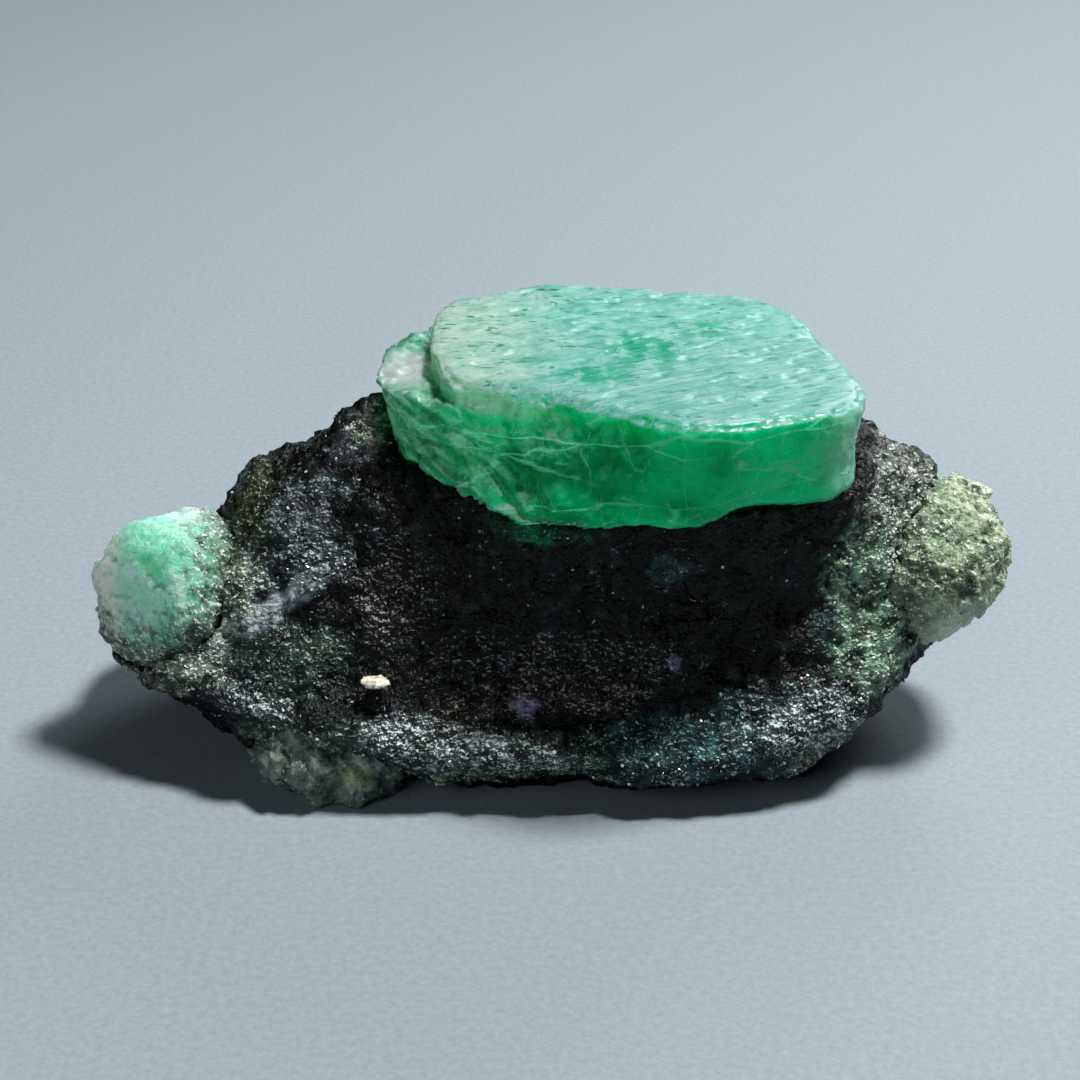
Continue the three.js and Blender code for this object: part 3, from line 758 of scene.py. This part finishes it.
def crystal_tree():
    """Marks of growth and wear: lines and pits on top, thin blades at the left, chipped rims, worn sides."""
    tree, nodes, given, out = new_tree(
        "Crystal growth", "GeometryNodeTree",
        [("Geometry", "Geometry", None), ("Line Depth", "Float", 0.08), ("Pit Depth", "Float", 0.14),
         ("Blade Depth", "Float", 0.35), ("Blade Height", "Float", 1.3), ("Wear Depth", "Float", 1.5),
         ("Chip Depth", "Float", 0.3), ("Shelf Depth", "Float", 1.4), ("Material", "Material", None)],
        [("Geometry", "Geometry")],
    )
    place = nodes.add("GeometryNodeInputPosition").outputs[0]
    normal = nodes.add("GeometryNodeInputNormal").outputs[0]
    x, _, z = nodes.axes(place)
    on_top = nodes.step(nodes.axes(normal)[2], 0.6, 0.9)
    aside = nodes.minus(1.0, on_top)
    blurred = nodes.add("GeometryNodeBlurAttribute", {"Iterations": 6}, data_type="FLOAT")
    nodes.tree.links.new(on_top, blurred.inputs[0])
    rim = nodes.step(nodes.math("ABSOLUTE", nodes.minus(blurred.outputs[0], 0.5)), 0.5, 0.15)
    turned = nodes.turned(place, RIDGE_TURN, "Z")
    lines = nodes.minus(nodes.noise(nodes.stretched(turned, 0.3, 1, 1), 0.7, seed=6), 0.5)
    pits = nodes.step(nodes.noise(nodes.stretched(turned, 0.5, 1, 1), 0.9, seed=7), 0.58, 0.72)
    slope = nodes.plus(z, nodes.times(x, BLADE_SLOPE))
    wander = nodes.times(nodes.noise(place, 3.0, seed=8, detail=4.0), 5.0)
    blade = nodes.math("FRACT", nodes.math("DIVIDE", nodes.plus(slope, wander), given["Blade Height"]))
    at_left = nodes.step(slope, *BLADE_RANGE)
    wear = nodes.minus(nodes.noise(place, 4.0, seed=9, detail=5.0, roughness=0.55), 0.5)
    chips = nodes.step(nodes.noise(place, 1.6, seed=10, detail=4.0, roughness=0.6), 0.45, 0.7)
    on_shelf = nodes.times(on_top, nodes.step(z, *SHELF_RANGE))
    broken = nodes.minus(nodes.noise(place, 1.5, seed=11, detail=4.0, roughness=0.6), 0.5)
    height = nodes.times(wear, nodes.times(given["Wear Depth"], nodes.plus(aside, 0.2)))
    marks = [
        ("Line Depth", lines, on_top, 1),
        ("Pit Depth", pits, on_top, -1),
        ("Blade Depth", nodes.times(blade, at_left), aside, -1),
        ("Shelf Depth", broken, on_shelf, 1),
        ("Chip Depth", chips, rim, -1),
    ]
    for depth, pattern, where, sign in marks:
        mark = nodes.times(nodes.times(pattern, where), given[depth])
        height = nodes.plus(height, nodes.times(mark, sign))
    target = nodes.vector("ADD", place, nodes.scaled(normal, height))
    shaped = nodes.add("GeometryNodeSetPosition", {"Geometry": given["Geometry"], "Position": target})
    end_tree(nodes, shaped.outputs[0], given["Material"], out)
    return tree


NARROWEST = (0.5, 0.6, 0.5)  # the narrowest small piece, as a share of its size along each axis
WIDEST = (1.6, 1.0, 1.0)
FIRST_FLAKES = (0.4, 1.0)  # heights between which small pieces set in, so that none lies under the rock


def scatter_tree(name, ovals, shape="plate"):
    """Scatters thin six-sided mica plates or angular grains over a rock, thicker inside the ovals."""
    tree, nodes, given, out = new_tree(
        name, "GeometryNodeTree",
        [("Geometry", "Geometry", None), ("Density", "Float", 1.0), ("Oval Density", "Float", 3.0),
         ("Smallest", "Float", 0.15), ("Largest", "Float", 0.45), ("Tilt", "Float", 0.6), ("Seed", "Int", 0),
         ("Material", "Material", None)],
        [("Geometry", "Geometry")],
    )
    place = nodes.add("GeometryNodeInputPosition").outputs[0]
    raised = nodes.step(nodes.axes(place)[2], *FIRST_FLAKES)
    clumps = nodes.noise(place, 1.1, seed=23, detail=2.0)
    inside = nodes.times(given["Oval Density"], covered(nodes, place, ovals, nodes.noise(place, 1.5, seed=4)))
    thickened = nodes.plus(given["Density"], inside)
    density = nodes.times(nodes.times(thickened, nodes.step(clumps, 0.44, 0.64, 0.05, 2.0)), raised)
    points = nodes.add("GeometryNodeDistributePointsOnFaces",
                       {"Mesh": given["Geometry"], "Density": density, "Seed": given["Seed"]})
    if shape == "plate":
        one = nodes.add("GeometryNodeMeshCylinder", {"Vertices": 6, "Radius": 1.0, "Depth": 0.3})
    else:
        one = nodes.add("GeometryNodeMeshIcoSphere", {"Radius": 1.0, "Subdivisions": 1})
    tilt = nodes.add("FunctionNodeRandomValue", {"Seed": given["Seed"]}, data_type="FLOAT_VECTOR")
    nodes.tree.links.new(nodes.scaled((-1, -1, -3), given["Tilt"]), tilt.inputs[0])
    nodes.tree.links.new(nodes.scaled((1, 1, 3), given["Tilt"]), tilt.inputs[1])
    turned = nodes.add("FunctionNodeRotateRotation", {0: points.outputs["Rotation"], 1: tilt.outputs[0]},
                       rotation_space="LOCAL").outputs[0]
    sizes = {2: given["Smallest"], 3: given["Largest"], "Seed": given["Seed"]}
    size = nodes.add("FunctionNodeRandomValue", sizes, data_type="FLOAT").outputs[1]
    spreads = {0: NARROWEST, 1: WIDEST, "Seed": given["Seed"]}
    spread = nodes.add("FunctionNodeRandomValue", spreads, data_type="FLOAT_VECTOR").outputs[0]
    placed = nodes.add("GeometryNodeInstanceOnPoints",
                       {"Points": points.outputs["Points"], "Instance": one.outputs["Mesh"],
                        "Rotation": turned, "Scale": nodes.scaled(spread, size)})
    end_tree(nodes, placed.outputs[0], given["Material"], out)
    return tree


# ---- Making pieces ----

MERGE_DISTANCE = 0.002  # millimetres


def millimetre_copy(node, name):
    """A copy of a CAD node's solid in millimetres, with its doubles merged."""
    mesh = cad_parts[node].data.copy()
    mesh.transform(Matrix.Scale(1 / MM, 4))
    shape = bmesh.new()
    shape.from_mesh(mesh)
    bmesh.ops.remove_doubles(shape, verts=shape.verts, dist=MERGE_DISTANCE)
    shape.to_mesh(mesh)
    shape.free()
    mesh.materials.clear()
    piece = bpy.data.objects.new(name, mesh)
    bpy.context.scene.collection.objects.link(piece)
    return piece


def even_mesh(piece, voxel, soften):
    """Gives a piece an even mesh, and rounds its facets off."""
    remesh = piece.modifiers.new("Even mesh", "REMESH")
    remesh.mode = "VOXEL"
    remesh.voxel_size = voxel
    smooth = piece.modifiers.new("Soften", "SMOOTH")
    smooth.factor = 0.5
    smooth.iterations = soften


def apply_tree(piece, tree, **inputs):
    """Adds a geometry tree to a piece. Input names are given with _ for each space."""
    modifier = piece.modifiers.new(tree.name, "NODES")
    modifier.node_group = tree
    sockets = {item.name: item.identifier for item in tree.interface.items_tree if item.in_out == "INPUT"}
    for name, value in inputs.items():
        modifier[sockets[name.replace("_", " ")]] = value


def made_plain(piece):
    """Turns a piece's modifiers into plain mesh."""
    evaluated = piece.evaluated_get(bpy.context.evaluated_depsgraph_get())
    mesh = bpy.data.meshes.new_from_object(evaluated)
    piece.modifiers.clear()
    piece.data = mesh
    return piece


def in_metres(piece, smooth=True):
    """Brings a finished piece from millimetres to metres."""
    piece.data.transform(Matrix.Scale(MM, 4))
    if smooth:
        piece.data.shade_smooth()
    else:
        piece.data.shade_flat()


def declare(piece, slot, *nodes):
    """Attaches a piece to the root body and hides the CAD nodes that it stands for."""
    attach(piece, "root")
    if nodes:
        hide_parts(*nodes)


def rock_piece(node, name, voxel, soften, **looks):
    """A broken rock in millimetres, made from a CAD node's solid."""
    piece = millimetre_copy(node, name)
    even_mesh(piece, voxel, soften)
    apply_tree(piece, ROCK, **looks)
    return made_plain(piece)


def stone(node, name, slot, **looks):
    """A broken rock that stands for a CAD node, finished, attached to the root body, and with the CAD node
    hidden.
    """
    piece = rock_piece(node, name, **looks)
    in_metres(piece)
    declare(piece, slot, node)


def scattered(rock, name, tree, **inputs):
    """Small pieces over a rock that is still in millimetres."""
    piece = bpy.data.objects.new(name, rock.data.copy())
    bpy.context.scene.collection.objects.link(piece)
    apply_tree(piece, tree, **inputs)
    made_plain(piece)
    in_metres(piece, smooth=False)
    declare(piece, "mica_schist")


ROCK = rock_tree()
SILVERY_OVALS = SILVER_AND_LIT_OVALS + WRINKLED_OVALS + PALE_RIM_OVALS + TEAL_OVALS

schist = rock_piece(
    "schist_matrix", "mica_schist_rock", voxel=0.26, soften=4,
    Lump_Depth=1.3, Lump_Size=3.4, Face_Depth=0.14, Face_Size=1.6, Grain_Depth=0.05, Grain_Size=0.7,
    Outward=0.1, Seed=3.0, Material=schist_material(),
)
scattered(
    schist, "silver_mica_flakes", scatter_tree("Silver flakes", SILVERY_OVALS),
    Density=0.16, Oval_Density=4.5, Smallest=0.05, Largest=0.15, Tilt=1.0, Seed=5,
    Material=mica_material("silver mica", (0.25, 0.28, 0.28), (0.85, 0.88, 0.87), 0.5),
)
scattered(
    schist, "brown_mica_flakes", scatter_tree("Brown flakes", LEDGE_RUST_OVALS + LILAC_OVALS),
    Density=0.02, Oval_Density=3.0, Smallest=0.06, Largest=0.22, Tilt=0.7, Seed=7,
    Material=mica_material("brown mica", (0.05, 0.032, 0.024), (0.36, 0.26, 0.2), 0.2),
)
scattered(
    schist, "pale_grains", scatter_tree("Pale grains", CREAM_OVALS + BERYL_OVALS, "grain"),
    Density=0.03, Oval_Density=2.6, Smallest=0.05, Largest=0.15, Tilt=3.0, Seed=8,
    Material=feldspar_material("pale feldspar", (0.28, 0.34, 0.26), (0.55, 0.6, 0.5), (0.85, 0.86, 0.78)),
)
in_metres(schist)
declare(schist, "mica_schist", "schist_matrix")

emerald = millimetre_copy("main_emerald", "main_emerald_crystal")
even_mesh(emerald, voxel=0.18, soften=3)
apply_tree(emerald, crystal_tree(), Material=emerald_material())
made_plain(emerald)
in_metres(emerald)
declare(emerald, "emerald", "main_emerald")

stone(
    "left_emerald", "left_emerald_crystal", "pale_emerald", voxel=0.18, soften=4,
    Lump_Depth=0.6, Lump_Size=2.2, Face_Depth=0.1, Face_Size=1.2, Grain_Depth=0.04, Grain_Size=0.6,
    Outward=0.13, Seed=23.0, Material=pale_emerald_material(),
)
stone(
    "green_nodule", "green_beryl_nodule", "green_nodule", voxel=0.18, soften=4,
    Lump_Depth=1.0, Lump_Size=3.0, Face_Depth=0.16, Face_Size=1.3, Grain_Depth=0.06, Grain_Size=0.6,
    Outward=0.25, Seed=31.0, Material=nodule_material(),
)
stone(
    "quartz_foot", "quartz_foot_mass", "grey_green_quartz", voxel=0.18, soften=4,
    Lump_Depth=1.5, Lump_Size=2.2, Face_Depth=0.2, Face_Size=1.5, Grain_Depth=0.04, Grain_Size=0.6,
    Outward=0.3, Seed=41.0, Material=quartz_material(),
)
stone(
    "feldspar_grain", "cream_feldspar_grain", "feldspar", voxel=0.09, soften=3,
    Lump_Depth=0.15, Lump_Size=0.9, Face_Depth=0.08, Face_Size=0.6, Grain_Depth=0.02, Grain_Size=0.25,
    Outward=-0.12, Seed=51.0,
    Material=feldspar_material("cream feldspar", (0.36, 0.3, 0.21), (0.68, 0.63, 0.5), (0.85, 0.82, 0.72)),
)

# ---- Floor, light and camera ----

FLOOR_SIDE = 3.0  # metres
AIM = Vector((0, 0, 12.5)) * MM
CAMERA_DISTANCE = 159 * MM
CAMERA_ELEVATION = math.radians(25)
LENS = 80  # millimetres, on a film this wide
FILM_WIDTH = 36
ROOM_COLOUR = (0.5, 0.58, 0.62)
ROOM_STRENGTH = 0.04
# Each soft panel: its name, its place in metres, its side in metres, its power in watts and its tint.
LIGHT_PANELS = [
    ("high panel", (0.16, 0.02, 0.44), 0.08, 3.4, (1.0, 0.99, 0.97)),
    ("back panel", (0.2, 0.42, 0.28), 0.24, 1.1, (0.95, 0.98, 1.0)),
    ("front panel", (-0.34, -0.38, 0.24), 0.3, 0.5, (0.95, 0.98, 1.0)),
]


def make_floor():
    mesh = bpy.data.meshes.new("floor")
    half = FLOOR_SIDE / 2
    corners = [(-half, -half, 0), (half, -half, 0), (half, half, 0), (-half, half, 0)]
    mesh.from_pydata(corners, [], [(0, 1, 2, 3)])
    mesh.materials.append(paper_material())
    floor = bpy.data.objects.new("floor", mesh)
    bpy.context.scene.collection.objects.link(floor)


def make_panel(name, place, side, power, tint):
    """A soft square panel of light that faces the specimen."""
    panel = bpy.data.lights.new(name, "AREA")
    panel.shape = "SQUARE"
    panel.size = side
    panel.energy = power
    panel.color = tint
    lamp = bpy.data.objects.new(name, panel)
    lamp.location = place
    lamp.rotation_euler = (AIM - Vector(place)).to_track_quat("-Z", "Y").to_euler()
    bpy.context.scene.collection.objects.link(lamp)


def make_world():
    world = bpy.data.worlds.new("room")
    world.use_nodes = True
    background = world.node_tree.nodes["Background"]
    background.inputs["Color"].default_value = colour(ROOM_COLOUR)
    background.inputs["Strength"].default_value = ROOM_STRENGTH
    bpy.context.scene.world = world


def make_camera():
    lens = bpy.data.cameras.new("camera")
    lens.lens = LENS
    lens.sensor_width = FILM_WIDTH
    lens.clip_start = 0.01
    camera = bpy.data.objects.new("camera", lens)
    back = Vector((0, -math.cos(CAMERA_ELEVATION), math.sin(CAMERA_ELEVATION)))
    camera.location = AIM + back * CAMERA_DISTANCE
    camera.rotation_euler = (-back).to_track_quat("-Z", "Y").to_euler()
    bpy.context.scene.collection.objects.link(camera)
    bpy.context.scene.camera = camera


make_camera()
make_floor()
make_world()
for panel in LIGHT_PANELS:
    make_panel(*panel)
bpy.context.scene.view_settings.view_transform = "Standard"
